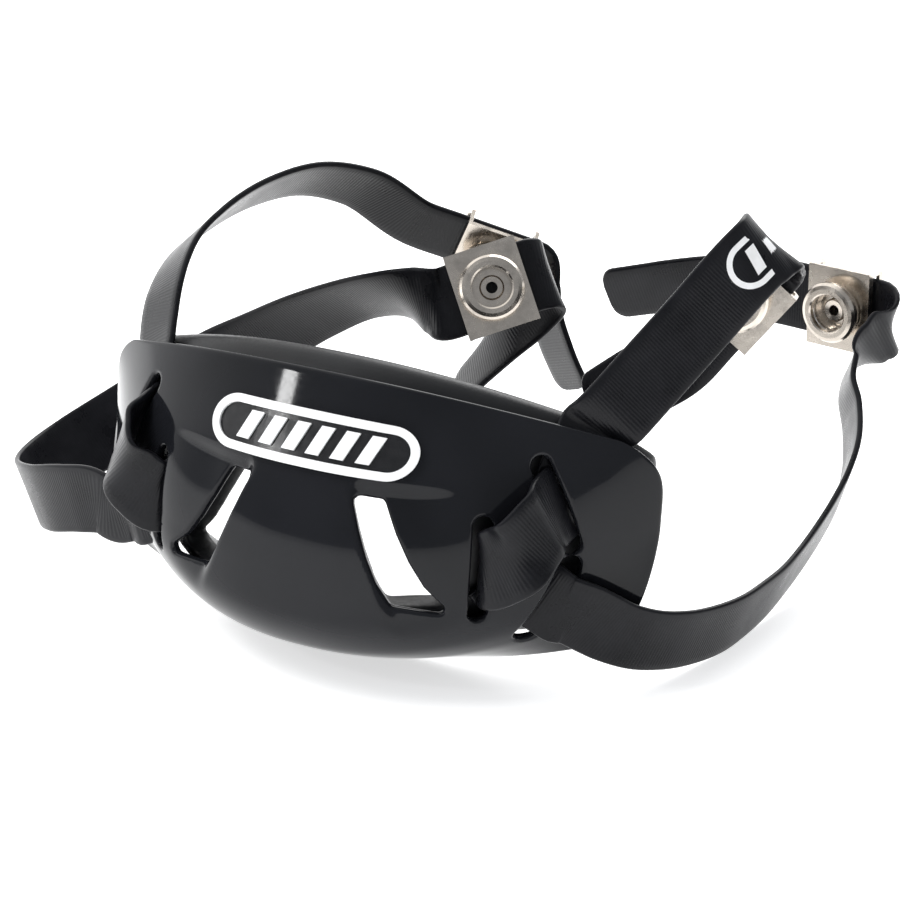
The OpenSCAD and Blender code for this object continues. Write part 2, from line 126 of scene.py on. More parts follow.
def curve(p, k, t):
    """Smooth curve through the points p at knots k, straight beyond either end; t is an array."""
    p, k, t = np.asarray(p, float), np.asarray(k, float), np.asarray(t, float)
    gap = np.diff(k)[:, None]
    chord = np.diff(p, axis=0) / gap
    slope = np.empty_like(p)
    slope[0], slope[-1] = chord[0], chord[-1]
    slope[1:-1] = (chord[1:] * gap[:-1] + chord[:-1] * gap[1:]) / (gap[:-1] + gap[1:])
    i = np.clip(np.searchsorted(k, t, side="right") - 1, 0, len(k) - 2)
    h = (k[i + 1] - k[i])[..., None]
    s = (t[..., None] - k[i][..., None]) / h
    inside = (p[i] * (1 + 2 * s) * (1 - s) ** 2 + slope[i] * h * s * (1 - s) ** 2
              + p[i + 1] * s * s * (3 - 2 * s) - slope[i + 1] * h * s * s * (1 - s))
    before = p[0] + slope[0] * (t[..., None] - k[0])
    after = p[-1] + slope[-1] * (t[..., None] - k[-1])
    return np.where(t[..., None] < k[0], before, np.where(t[..., None] > k[-1], after, inside))


# ---- the cup's surface, as in the CAD part ----

CHIN = np.array([[-22, 72], [-22.6, 60], [-23.5, 48], [-22.5, 36], [-18, 22], [-12.5, 12], [-4, 7],
                 [6, 6.3], [16, 7.8], [26.5, 10]], float)
CHIN_KNOTS = runs(CHIN) / runs(CHIN)[-1]


def skin(u, v):
    """Point of the cup's outer surface; u is across, 0 at the middle, and v from rim 0 to lip 1."""
    u, v = np.broadcast_arrays(np.asarray(u, float), np.asarray(v, float))
    c = curve(CHIN, CHIN_KNOTS, v)
    q = np.abs(u) ** 2.25
    return np.stack([u * CUP_HALF, mix(c[..., 0], 6 + 4 * v + 17 * v * v, q),
                     mix(c[..., 1], 71.5 - 41 * v - 6 * v * v, q)], axis=-1)


def skin_normal(u, v):
    step = 0.01
    return unit(np.cross(skin(u, v + step) - skin(u, v - step), skin(u + step, v) - skin(u - step, v)))


def above(u, v, h):
    return skin(u, v) + skin_normal(u, v) * np.asarray(h, float)[..., None]


def lean(p):
    """The cup's own frame, leaned back."""
    c, s = math.cos(CUP_PITCH), math.sin(CUP_PITCH)
    x, y, z = p[..., 0], p[..., 1], p[..., 2]
    return np.stack([x, y * c + z * s, z * c - y * s - CUP_DROP], axis=-1)


def reach(v):
    return 0.95 + 0.155 * np.sqrt(np.maximum(0, 1 - np.abs(2 * v - 1) ** 4))


def pad_reach(t):
    return 0.93 + 0.2 * np.sqrt(np.maximum(0, 1 - np.abs(2 * t - 1) ** 4))


def dish(u, v):
    """Depth of the dished side panels, with a crisp step at the top and beside the vent."""
    a = np.abs(u)
    edge = 0.175 + np.maximum(0, v - 0.26) * 0.53
    return (PANEL_DEPTH * ease((v - 0.228) / 0.045) * (1 - ease((v - 0.5) / 0.16))
            * ease((a - edge) / 0.055) * (1 - ease((a - 0.36) / 0.26)))


VENT_RADIUS = 1.4
VENT_IN = [[0.225, 0.288], [0.262, 0.355], [0.298, 0.42], [0.338, 0.485], [0.385, 0.54]]
VENT_OUT = [[0.295, 0.29], [0.35, 0.37], [0.405, 0.445], [0.462, 0.515], [0.525, 0.57]]
SLOTS = [[[0.635, 0.345], [0.637, 0.61], 2.5],
         [[0.767, 0.155], [0.885, 0.465], 2.6],
         [[0.885, 0.56], [0.748, 0.785], 3.1]]


def outline_distance(points, corners):
    """Distance from 2-D points to a polygon's outline, negative inside it. A polygon of two
    corners is a line, which has no inside."""
    best = np.full(len(points), 1e9)
    inside = np.zeros(len(points), bool)
    for a, b in zip(corners, np.roll(corners, -1, axis=0)):
        ab, ap = b - a, points - a
        t = np.clip(ap @ ab / max(ab @ ab, 1e-12), 0, 1)
        best = np.minimum(best, np.linalg.norm(ap - t[:, None] * ab, axis=1))
        crosses = (a[1] > points[:, 1]) != (b[1] > points[:, 1])
        rise = b[1] - a[1] + 1e-12
        crossing = np.where(crosses, (b[0] - a[0]) * (points[:, 1] - a[1]) / rise + a[0], 0)
        inside ^= crosses & (points[:, 0] < crossing)
    return np.where(inside & (len(corners) > 2), -best, best)


def hole_distance(uv, grow=0.0, with_slots=True):
    """Distance over the surface, in mm, from points to the edge of the nearest hole."""
    where = skin(uv[:, 0], uv[:, 1])
    best = np.full(len(uv), 1e9)
    holes = [(VENT_IN + VENT_OUT[::-1], VENT_RADIUS)]
    if with_slots:
        holes += [([a, b], radius) for a, b, radius in SLOTS]
    for side in (-1, 1):
        for corners, radius in holes:
            corners = np.array(corners) * [side, 1]
            middle = corners.mean(axis=0)
            normal = skin_normal(middle[0], middle[1])
            right = unit(np.cross([0, 0, 1], normal))
            up = np.cross(normal, right)
            flat = np.stack([right, up], axis=1)
            d = outline_distance(where @ flat, skin(corners[:, 0], corners[:, 1]) @ flat) - radius - grow
            best = np.where(uv[:, 0] * side > 0, np.minimum(best, d), best)
    return best


def split(uv, faces, field, level, drop):
    """Splits faces along the line where field is level, and drops what is below it if asked."""
    uv, field, made, out = list(uv), list(field), {}, []
    for face in faces:
        s = [field[i] - level for i in face]
        if min(s) >= 0 or max(s) <= 0:
            if min(s) >= 0 or not drop:
                out.append(face)
            continue
        low, high = [], []
        for n, i in enumerate(face):
            j = face[(n + 1) % len(face)]
            s_next = s[(n + 1) % len(face)]
            if s[n] <= 0:
                low.append(i)
            if s[n] >= 0:
                high.append(i)
            if s[n] * s_next < 0:
                key = (min(i, j), max(i, j))
                if key not in made:
                    t = (level - field[i]) / (field[j] - field[i])
                    made[key] = len(uv)
                    uv.append(uv[i] + (uv[j] - uv[i]) * t)
                    field.append(level)
                low.append(made[key])
                high.append(made[key])
        out.append(high)
        if not drop:
            out.append(low)
    return np.array(uv), out, np.array(field)


def lip_levels(radius):
    """Distances from an edge at which a round lip of that radius has its rows."""
    return [radius * (1 - math.cos(math.radians(a))) for a in (0, 24, 45, 66, 90)]


def lip_drop(d, radius):
    return radius - np.sqrt(np.maximum(0, radius ** 2 - np.clip(radius - d, 0, radius) ** 2))


def cut_holes(uv, faces, field, radius):
    """Cuts the holes out of the faces, with rows round them for a round lip."""
    for n, level in enumerate(lip_levels(radius)):
        uv, faces, field = split(uv, faces, field, level, drop=n == 0)
    return uv, faces, field


def grid_steps(count, length, radius):
    """Steps from 0 to 1 with rows for a round lip at both ends."""
    edge = [x / length for x in lip_levels(radius)]
    middle = list(np.linspace(edge[-1], 1 - edge[-1], count))[1:-1]
    return np.array(edge + middle + [1 - x for x in reversed(edge)])


def outside_edges(faces):
    """Edges that only one face has, in that face's direction."""
    seen = {}
    for face in faces:
        for i, j in zip(face, face[1:] + face[:1]):
            seen[(i, j)] = True
    return [(i, j) for i, j in seen if (j, i) not in seen]


# ---- meshes ----

def make_mesh(name, points, faces, material, uv=None, smooth_angle=40):
    """points are in mm, in the cup's frame; uv is one pair for each point."""
    mesh = bpy.data.meshes.new(name)
    places = (np.asarray(points) + LAY) * MM
    mesh.from_pydata([tuple(p) for p in places], [], [tuple(f) for f in faces])
    mesh.validate()
    if uv is not None:
        layer = mesh.uv_layers.new(name="along")
        for loop in mesh.loops:
            layer.data[loop.index].uv = uv[loop.vertex_index]
    mesh.materials.append(material)
    mesh.shade_smooth()
    mesh.set_sharp_from_angle(angle=math.radians(smooth_angle))
    piece = bpy.data.objects.new(name, mesh)
    bpy.context.scene.collection.objects.link(piece)
    return piece


def quads(rows, cols):
    return [[r * cols + c, (r + 1) * cols + c, (r + 1) * cols + c + 1, r * cols + c + 1]
            for r in range(rows - 1) for c in range(cols - 1)]


def closed_sheet(front, back, faces):
    """One closed mesh of two matching sheets and the walls between their edges."""
    n = len(front)
    walls = [[j, i, n + i, n + j] for i, j in outside_edges(faces)]
    turned = [[n + i for i in reversed(face)] for face in faces]
    used = sorted({i for face in faces + turned + walls for i in face})
    where = {old: new for new, old in enumerate(used)}
    points = np.concatenate([front, back])[used]
    return points, [[where[i] for i in face] for face in faces + turned + walls]


def make_shell(material):
    across = grid_steps(250, SHELL_LONG, LIP)
    down = grid_steps(104, SHELL_TALL, LIP)
    v, c = np.meshgrid(down, across, indexing="ij")
    uv = np.stack([(2 * c - 1) * reach(v), v], axis=-1).reshape(-1, 2)
    faces = quads(len(down), len(across))
    uv, faces, field = cut_holes(uv, faces, hole_distance(uv), LIP)
    u, v = uv[:, 0], uv[:, 1]
    border = np.minimum(np.minimum(v, 1 - v) * SHELL_TALL, (reach(v) - np.abs(u)) * END_SCALE)
    drop = lip_drop(np.minimum(field, np.maximum(0, border)), LIP)
    depth = dish(u, v)
    outer = lean(above(u, v, -depth - drop))
    inner = lean(above(u, v, -depth - SHELL_WALL + drop))
    points, faces = closed_sheet(outer, inner, faces)
    return make_mesh("shell", points, faces, material, smooth_angle=70)


def make_liner(material):
    rows, cols = 90, 220
    t, c = np.meshgrid(np.linspace(0, 1, rows), np.linspace(0, 1, cols), indexing="ij")
    uv = np.stack([(2 * c - 1) * pad_reach(t), mix(LINER_START, 1.0, t)], axis=-1).reshape(-1, 2)
    faces = quads(rows, cols)
    field = hole_distance(uv, grow=LINER_MARGIN, with_slots=False)
    uv, faces, field = cut_holes(uv, faces, field, LINER_LIP)
    u, v = uv[:, 0], uv[:, 1]
    t = (v - LINER_START) / (1 - LINER_START)
    down = np.minimum(t, 1 - t) / ROLL_DOWN
    side = (1 - np.abs(u) / pad_reach(t)) / ROLL_SIDE
    plump = np.minimum(*[np.sqrt(np.maximum(0, 1 - (1 - np.clip(x, 0, 1)) ** 2)) for x in (down, side)])
    bow = np.maximum(0.02, plump) * LINER_WALL / 2 - lip_drop(field, LINER_LIP)
    middle = LINER_TOP + LINER_WALL / 2
    outer = lean(above(u, v, -middle + bow))
    inner = lean(above(u, v, -middle - bow))
    points, faces = closed_sheet(outer, inner, faces)
    return make_mesh("liner", points, faces, material, smooth_angle=80)


# ---- the straps ----
# Routes are the CAD part's own listed points. A flex is where a strap leaves the cup.

FLEX = {
    "upper_right": ([65, 43, 66], [0.42, 0.64, 0.64], [-0.65, -0.34, 0.68]),
    "upper_left": ([-61.5, 43, 65], [-0.12, 0.52, 0.85], [0.78, -0.42, 0.47]),
    "lower_right": ([64, 27.1, 17.2], [0.62, 0.56, -0.55], [0.5, 0.12, 0.86]),
    "lower_left": ([-65, 26.8, 17.8], [-0.82, 0.2, -0.45], [-0.45, 0.12, 0.88]),
}

# from the lowest slot, behind the wall, out of the front slot, over the bridge and up to the rim
WEAVE = np.array([
    [0.913, 0.593, 0.770, 0.820, 2.4], [0.885, 0.56, 0.748, 0.785, -0.6],
    [0.857, 0.527, 0.726, 0.75, -3.4], [0.825, 0.5, 0.71, 0.73, -3.5],
    [0.75, 0.42, 0.685, 0.68, -3.4], [0.695, 0.365, 0.68, 0.63, -3.4],
    [0.667, 0.352, 0.67, 0.618, -3.45], [0.647, 0.347, 0.649, 0.612, -2.9],
    [0.64, 0.346, 0.642, 0.611, -1.2], [0.647, 0.343, 0.65, 0.608, 1],
    [0.668, 0.315, 0.68, 0.595, 4], [0.69, 0.265, 0.745, 0.57, 7.6],
    [0.72, 0.21, 0.82, 0.51, 6.4], [0.737, 0.177, 0.856, 0.474, 3],
    [0.767, 0.155, 0.885, 0.465, -0.4], [0.797, 0.133, 0.914, 0.45, -3.1],
    [0.8, 0.1, 0.935, 0.36, -3.3], [0.8, 0.06, 0.965, 0.24, -3.5],
    [0.8, 0.02, 0.995, 0.10, -3.6], [0.803, -0.02, 1.01, 0.0, -3.8]])

# each buckle: middle of the strap in it, direction towards the tail, way the socket faces
BUCKLES = {
    "upper_left": ([-7, 127, 64], [0.88, 0.36, -0.32], [0.19, -0.87, -0.45]),
    "lower_left": ([8, 93, 68], [0.8, 0.53, 0.3], [0.38, -0.82, 0.42]),
    "upper_right": ([76, 91, 80], [-0.56, -0.3, -0.77], [0.23, -0.95, 0.21]),
    "lower_right": ([79.5, 166.5, 50], [-0.97, 0.23, -0.06], [-0.23, -0.97, 0.05]),
}


def buckle_frame(name):
    """A buckle's middle, and its directions along the strap, across it and out of the socket."""
    middle, along, out = (np.array(x, float) for x in BUCKLES[name])
    x = unit(along)
    z = unit(out - x * (x @ out))
    return middle, x, np.cross(z, x), z


def start(name):
    """The strap is straight where it flexes."""
    point, direction, wide = (np.array(x, float) for x in FLEX[name])
    return [[*(point + unit(direction) * s), *wide] for s in (0, 1.5, 3)]


def through(name, steps, turn):
    """The strap is straight in its buckle, at steps before and after the buckle's middle."""
    middle, x, y, _ = buckle_frame(name)
    return [[*(middle + x * s), *(y * turn)] for s in steps]


ROUTES = {
    "upper_left": start("upper_left") + [
        [-63, 51, 73.5, 0.74, -0.43, 0.51], [-63, 59, 78.5, 0.69, -0.43, 0.58],
        [-60.5, 69, 82.5, 0.64, -0.43, 0.64], [-54.5, 84.5, 86.5, 0.62, -0.41, 0.67],
        [-46.5, 98, 87, 0.61, -0.39, 0.69], [-38, 108, 83, 0.6, -0.34, 0.72]]
    + through("upper_left", (-21, -11.5, -10, 10, 11.2), 1) + [
        [5, 131.8, 58, 0.55, -0.5, 0.67], [6, 131.5, 54.5, 0.65, -0.55, 0.53],
        [7.5, 130, 48, 0.72, -0.6, 0.35], [11.5, 128.5, 39, 0.75, -0.6, 0.3],
        [17.5, 128, 28, 0.75, -0.6, 0.3]],
    "lower_left": start("lower_left") + [
        [-72.5, 28.6, 17, -0.4, 0.05, 0.92], [-82.5, 31, 14.6, -0.38, 0.04, 0.93],
        [-95.5, 37, 9.3, -0.37, 0.04, 0.93], [-105.5, 47.5, 5, -0.41, 0, 0.91],
        [-109.5, 61.5, 3.4, -0.5, -0.02, 0.86], [-107.5, 75.5, 5.2, -0.57, -0.01, 0.82],
        [-99.5, 86.5, 11, -0.6, 0, 0.8], [-88, 94, 19.5, -0.59, -0.05, 0.81],
        [-75, 97, 29.5, -0.56, -0.18, 0.8], [-60.5, 97.5, 39, -0.53, -0.36, 0.77],
        [-46.5, 96.5, 48.5, -0.49, -0.53, 0.69], [-31.5, 94.5, 57, -0.44, -0.62, 0.65],
        [-20, 91, 61.5, -0.46, -0.5, 0.74], [-9.5, 87.3, 63.5, -0.47, -0.05, 0.87]]
    + through("lower_left", (-12.5, -10.3, 10, 11.2), 1) + [
        [19, 102, 71, -0.5, 0.28, 0.81], [19, 106, 67.5, -0.57, 0.42, 0.7],
        [14.5, 107, 59.5, -0.65, 0.6, 0.47], [8, 103.5, 50.5, -0.55, 0.78, 0.3],
        [2, 101, 42, -0.48, 0.86, 0.12], [-4, 98.5, 34, -0.45, 0.88, 0.05]],
    "upper_right": start("upper_right") + [
        [76.5, 60.5, 83.5, -0.63, -0.33, 0.7], [85, 73, 96.5, -0.63, -0.33, 0.7],
        [86.5, 77, 98.5, -0.62, -0.38, 0.68], [86.5, 82, 98.5, -0.62, -0.4, 0.68],
        [85.5, 87.5, 95.5, -0.66, -0.36, 0.66], [84, 92.5, 91.8, -0.74, -0.18, 0.64]]
    + through("upper_right", (-11.5, -10, 12, 23), -1) + [
        [54, 82, 55, -0.78, 0, 0.62], [43, 81.5, 45.5, -0.75, 0.05, 0.66]],
    "lower_right": start("lower_right") + [
        [70, 32.4, 12, 0.45, 0.06, 0.89], [75.5, 37, 9, 0.4, 0.03, 0.92],
        [81, 44.5, 6.5, 0.37, 0.01, 0.94], [85.5, 54, 4.7, 0.34, -0.01, 0.94],
        [89, 63.5, 4, 0.32, -0.05, 0.94], [91, 73.5, 4, 0.32, -0.1, 0.94],
        [92.5, 83.5, 4.5, 0.33, -0.16, 0.93], [93.5, 93.5, 6.1, 0.33, -0.23, 0.92],
        [94.5, 103.5, 8.8, 0.32, -0.31, 0.9], [95.5, 113.5, 12.6, 0.31, -0.38, 0.87],
        [96, 123.5, 17.3, 0.31, -0.43, 0.85], [95, 133, 23, 0.33, -0.46, 0.82],
        [91.5, 142, 29.5, 0.35, -0.52, 0.78], [87.5, 148.5, 35.5, 0.36, -0.62, 0.7],
        [87.5, 153.5, 40.5, 0.33, -0.6, 0.73], [92, 157.5, 45.5, 0.1, -0.27, 0.96],
        [94, 161, 48.5, 0, -0.06, 1]]
    + through("lower_right", (-12.3, -10.7, 12, 20), -1) + [
        [42, 174.5, 46, 0.08, -0.2, 0.97], [26, 174.5, 42.5, 0.15, -0.33, 0.93],
        [8.5, 171.5, 38, 0.17, -0.36, 0.92]],
}

TAIL_ROUND = 4.0
TAIL_STEPS = np.array([0.7, 0.4, 0.2, 0.08, 0])


def strap_section(half_wide, half_thick):
    """Outline of a strap's cross-section with rounded edges, as (across, out) pairs."""
    points = []
    edge = half_thick * 0.95
    flat = np.linspace(1, -1, 9) * (half_wide - edge)
    points += [(x, half_thick) for x in flat]
    points += [(-half_wide + edge - edge * math.sin(a), half_thick * math.cos(a))
               for a in np.radians([30, 60, 90, 120, 150])]
    points += [(x, -half_thick) for x in -flat]
    points += [(half_wide - edge + edge * math.sin(a), -half_thick * math.cos(a))
               for a in np.radians([30, 60, 90, 120, 150])]
    return np.array(points)


def strap_mesh(name, rings, lengths, material):
    """A closed strap through rings of points; lengths are the distance along it at each ring."""
    n = len(rings[0])
    section = strap_section(STRAP_WIDE / 2, STRAP_THICK / 2)
    uv = [(s * MM, x * MM) for s in lengths for x in section[:, 0]]
    faces = [[(i + 1) * n + j, (i + 1) * n + (j + 1) % n, i * n + (j + 1) % n, i * n + j]
             for i in range(len(rings) - 1) for j in range(n)]
    last = (len(rings) - 1) * n
    faces += [list(range(n)), [last + j for j in reversed(range(n))]]
    return make_mesh(name, np.concatenate(rings), faces, material, uv=uv, smooth_angle=50)


def strap_rings(middles, wides, lengths):
    """Cross-sections along a strap, whose last stretch narrows to a rounded end."""
    tangent = unit(np.gradient(middles, lengths, axis=0))
    across = unit(wides - tangent * np.sum(wides * tangent, axis=1, keepdims=True))
    out = np.cross(tangent, across)
    rings = []
    for m, w, o, s in zip(middles, across, out, lengths):
        left = min(1, (lengths[-1] - s) / TAIL_ROUND)
        narrow = mix(0.45, 1, math.sqrt(1 - (1 - left) ** 2))
        section = strap_section(STRAP_WIDE / 2 * narrow, STRAP_THICK / 2)
        rings.append(m + section[:, :1] * w + section[:, 1:] * o)
    return rings


def soften(values, lengths, reach):
    """Evens out a line's bends over that reach, except at its two ends."""
    out = values.copy()
    for i, s in enumerate(lengths):
        room = min(reach, s - lengths[0], lengths[-1] - s)
        if room > 0.1:
            weight = np.maximum(0, 1 - np.abs(lengths - s) / room) + 1e-9
            out[i] = (values * weight[:, None]).sum(axis=0) / weight.sum()
    return out


def weave_rows(side, t):
    """Middles and width directions of one side's woven strap at rows t."""
    knots = np.arange(len(WEAVE))
    row = curve(WEAVE, knots, t)
    a = lean(above(side * row[:, 0], row[:, 1], row[:, 4]))
    b = lean(above(side * row[:, 2], row[:, 3], row[:, 4]))
    return (a + b) / 2, unit(a - b)


# row of the woven strap at which its upper and lower ends part
SPLIT_ROW = 4.6
WEAVE_STEP = 0.2
STRAP_STEP = 0.7
# straight points of the woven stretch before the flex, and where the flexing stretch lies
FLEX_LEAD = (2.4, 1.15)
FLEX_FROM = -2.2
FLEX_TO = 3.0
# bends are evened out this far from the flex, over this reach
SOFT_SPAN = 9
SOFT_REACH = 4.0


def make_strap(name, material):
    """One free end of a strap: a woven stretch on the cup, a short stretch where it leaves the cup and
    the rest.
    All three are cut from one line, so their ends match."""
    side = 1 if name.endswith("right") else -1
    upper = name.startswith("upper")
    last = len(WEAVE) - 1
    if upper:
        rows = np.arange(SPLIT_ROW, last + 0.01, WEAVE_STEP)
    else:
        rows = np.arange(SPLIT_ROW, -0.01, -WEAVE_STEP)
    woven_mid, woven_wide = weave_rows(side, rows)
    point, direction, flex_wide = (np.array(x, float) for x in FLEX[name])
    away = unit(direction)
    route = np.array(ROUTES[name], float)
    free_mid, free_wide = route[:, :3], unit(route[:, 3:])
    turn = 1 if unit(flex_wide) @ woven_wide[-1] > 0 else -1
    woven_mid = np.concatenate([woven_mid, [point - away * d for d in FLEX_LEAD]])
    woven_wide = np.concatenate([woven_wide * turn, [unit(flex_wide)] * 2])
    knots, free_knots = runs(woven_mid), runs(free_mid)
    before, after = knots[-1] + FLEX_LEAD[-1], free_knots[-1]
    lengths = np.concatenate([
        np.linspace(-before, -FLEX_LEAD[-1], round(before / STRAP_STEP)),
        np.linspace(0, after - TAIL_ROUND, round(after / STRAP_STEP)),
        after - TAIL_ROUND * TAIL_STEPS])
    woven = (lengths < 0)[:, None]
    middles = np.where(woven, curve(woven_mid, knots, lengths + before),
                       curve(free_mid, free_knots, lengths))
    wides = np.where(woven, curve(woven_wide, knots, lengths + before),
                     curve(free_wide, free_knots, lengths))
    near = np.abs(lengths) < SOFT_SPAN
    middles[near] = soften(middles[near], lengths[near], SOFT_REACH)
    wides[near] = soften(unit(wides[near]), lengths[near], SOFT_REACH * 1.5)
    rings = strap_rings(middles, wides, lengths)

    first = int(np.searchsorted(lengths, FLEX_FROM))
    second = int(np.searchsorted(lengths, FLEX_TO))
    parts = (("woven", 0, first), ("flexing", first, second), ("free", second, len(rings) - 1))
    made = [strap_mesh(f"{name}_strap_{part}", rings[i:j + 1], lengths[i:j + 1], material)
            for part, i, j in parts]
    body = name + "_strap_body"
    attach(made[0], "cup")
    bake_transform(made[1])
    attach(made[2], body)
    if upper:
        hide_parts("weave_" + name.split("_")[1])
    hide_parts(name + "_strap")
    return middles, wides, lengths


# the print's outline: where it starts along the strap, its straight length, half its height and
# its line's width; its bars: first place, pitch, width, half height and slant
PRINT_START = 40.5
PRINT_LONG = 24
PRINT_HALF = 6.2
PRINT_LINE = 1.5
PRINT_STEPS = 30
BAR_COUNT = 4
BAR_FIRST = 6.5
BAR_PITCH = 6
BAR_WIDE = 3
BAR_HALF = 3.4
BAR_SLANT = 0.3
# the print's face stands this far out of the strap, and its back lies this deep in it
PRINT_LIFT = 0.03
PRINT_DEPTH = 0.2


def strap_out(line, s):
    """The way a strap's face looks, at distances s along it."""
    middles, wides, lengths = line
    t = unit(curve(middles, lengths, s + 0.3) - curve(middles, lengths, s - 0.3))
    w = curve(wides, lengths, s)
    return np.cross(t, unit(w - t * np.sum(t * w, axis=-1, keepdims=True)))


def make_print(line, material):
    """A printed outline with plain slanted bars on the upper right strap's outer face. line is
    that strap's middles, width directions and lengths."""
    middles, wides, lengths = line
    turned = strap_out(line, np.array([PRINT_START]))[0][1] > 0

    def put(s, x, lift):
        out = strap_out(line, s) * (-1 if turned else 1)
        w = unit(curve(wides, lengths, s))
        return curve(middles, lengths, s) + w * x[:, None] + out * (STRAP_THICK / 2 + lift)

    count = 24
    turn = np.radians(np.linspace(-90, 90, count + 1))
    rows = []
    for inset in (0, PRINT_LINE):
        r = PRINT_HALF - inset
        left = np.stack([PRINT_START + PRINT_HALF - r * np.cos(turn), r * np.sin(turn)], axis=1)
        straight = PRINT_LONG / PRINT_STEPS * np.arange(1, PRINT_STEPS + 1)
        top = np.stack([PRINT_START + PRINT_HALF + straight, np.full(PRINT_STEPS, r)], axis=1)
        low = np.stack([PRINT_START + PRINT_HALF + straight[::-1], np.full(PRINT_STEPS, -r)], axis=1)
        rows.append(np.concatenate([low, left, top]))
    points, faces = [], []
    n = len(rows[0])
    for lift in (PRINT_LIFT, -PRINT_DEPTH):
        for row in rows:
            points.append(put(row[:, 0], row[:, 1], lift))
    for i in range(n - 1):
        a, b, c, d = i, i + n, i + 2 * n, i + 3 * n
        faces += [[a, a + 1, b + 1, b], [c, d, d + 1, c + 1], [a, c, c + 1, a + 1], [b, b + 1, d + 1, d]]
    faces += [[0, n, 3 * n, 2 * n], [n - 1, 3 * n - 1, 4 * n - 1, 2 * n - 1]]
    bar = quads(5, 4)
    corners = [(x, y) for y in np.linspace(-BAR_HALF, BAR_HALF, 5) for x in np.linspace(0, BAR_WIDE, 4)]
    sideways = np.array([y for _, y in corners])
    for k in range(BAR_COUNT):
        start_at = PRINT_START + BAR_FIRST + BAR_PITCH * k
        face = sum(len(p) for p in points)
        back = face + len(corners)
        s = np.array([start_at + x + BAR_SLANT * y for x, y in corners])
        points += [put(s, sideways, PRINT_LIFT), put(s, sideways, -PRINT_DEPTH)]
        faces += [[face + i for i in f] for f in bar]
        faces += [[back + i for i in reversed(f)] for f in bar]
        faces += [[face + j, face + i, back + i, back + j] for i, j in outside_edges(bar)]
    piece = make_mesh("upper_right_strap_print", np.concatenate(points), faces, material)
    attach(piece, "upper_right_strap_body")


# ---- materials ----

class Nodes:
    """Short calls for building a node tree."""

    def __init__(self, name):
        self.material = bpy.data.materials.new(name)
        self.material.use_nodes = True
        self.tree = self.material.node_tree
        self.shader = self.tree.nodes["Principled BSDF"]

    def add(self, kind, inputs=None, **settings):
        node = self.tree.nodes.new("ShaderNode" + kind)
        for key, value in settings.items():
            setattr(node, key, value)
        for key, value in (inputs or {}).items():
            if isinstance(value, bpy.types.NodeSocket):
                self.tree.links.new(value, node.inputs[key])
            else:
                node.inputs[key].default_value = value
        return node

    def set(self, **values):
        for key, value in values.items():
            socket = self.shader.inputs[key.replace("_", " ")]
            if isinstance(value, bpy.types.NodeSocket):
                self.tree.links.new(value, socket)
            else:
                socket.default_value = value

    def place(self):
        return self.add("TexCoord").outputs["Object"]

    def noise(self, where, scale, detail=3, rough=0.5):
        return self.add("TexNoise", {"Vector": where, "Scale": scale, "Detail": detail,
                                     "Roughness": rough}).outputs["Fac"]

    def between(self, value, low, high, start=0.3, end=0.7):
        return self.add("MapRange", {"Value": value, "From Min": start, "From Max": end,
                                     "To Min": low, "To Max": high}).outputs["Result"]

    def colour(self, value, low, high, start=0.3, end=0.7):
        ramp = self.add("ValToRGB", {"Fac": value})
        ramp.color_ramp.elements[0].position = start
        ramp.color_ramp.elements[0].color = (*low, 1)
        ramp.color_ramp.elements[1].position = end
        ramp.color_ramp.elements[1].color = (*high, 1)
        return ramp.outputs["Color"]

    def bump(self, height, strength, distance, normal=None):
        inputs = {"Height": height, "Strength": strength, "Distance": distance}
        if normal is not None:
            inputs["Normal"] = normal
        return self.add("Bump", inputs).outputs["Normal"]


def shell_material():
    """Glossy moulded black plastic with a faint unevenness and light handling marks."""
    n = Nodes("gloss black plastic")
    where = n.place()
    broad = n.noise(where, 28, 2)
    fine = n.noise(where, 900, 4)
    n.set(Base_Color=n.colour(broad, (0.006, 0.0065, 0.008), (0.011, 0.0115, 0.014)),
          Roughness=n.between(fine, 0.045, 0.1),
          Normal=n.bump(broad, 0.12, 0.0006), Specular_IOR_Level=0.2)
    return n.material


def liner_material():
    """Satin black foam rubber with a fine skin."""
    n = Nodes("satin black foam rubber")
    where = n.place()
    grain = n.noise(where, 1400, 4, 0.6)
    broad = n.noise(where, 40, 3)
    n.set(Base_Color=n.colour(broad, (0.007, 0.0072, 0.008), (0.016, 0.0165, 0.018)),
          Roughness=n.between(grain, 0.3, 0.48), Normal=n.bump(grain, 0.18, 0.00025),
          Specular_IOR_Level=0.35)
    return n.material


def strap_material():
    """Satin black vinyl with fine ribs across the strap and a smooth border on both edges."""
    n = Nodes("ribbed black vinyl")
    where = n.place()
    split_uv = n.add("SeparateXYZ", {"Vector": n.add("UVMap", uv_map="along").outputs["UV"]})
    along, across = split_uv.outputs["X"], split_uv.outputs["Y"]
    wander = n.noise(where, 300, 2)
    turned = n.add("Math", {0: along, 1: 2 * math.pi / 0.0008}, operation="MULTIPLY").outputs[0]
    wobble = n.add("Math", {0: wander, 1: 1.2}, operation="MULTIPLY").outputs[0]
    phase = n.add("Math", {0: turned, 1: wobble}, operation="ADD").outputs[0]
    rib = n.add("Math", {0: phase}, operation="SINE").outputs[0]
    off_middle = n.add("Math", {0: across}, operation="ABSOLUTE").outputs[0]
    border = n.between(off_middle, 1.0, 0.0, 0.0074, 0.0082)
    height = n.add("Math", {0: rib, 1: border}, operation="MULTIPLY").outputs[0]
    grain = n.noise(where, 1600, 3)
    scuff = n.noise(where, 90, 4, 0.65)
    first = n.bump(height, 0.22, 0.00008)
    n.set(Base_Color=n.colour(scuff, (0.005, 0.0052, 0.0065), (0.011, 0.0112, 0.0135)),
          Roughness=n.between(scuff, 0.24, 0.36),
          Normal=n.bump(grain, 0.12, 0.0001, first), Specular_IOR_Level=0.17)
    return n.material


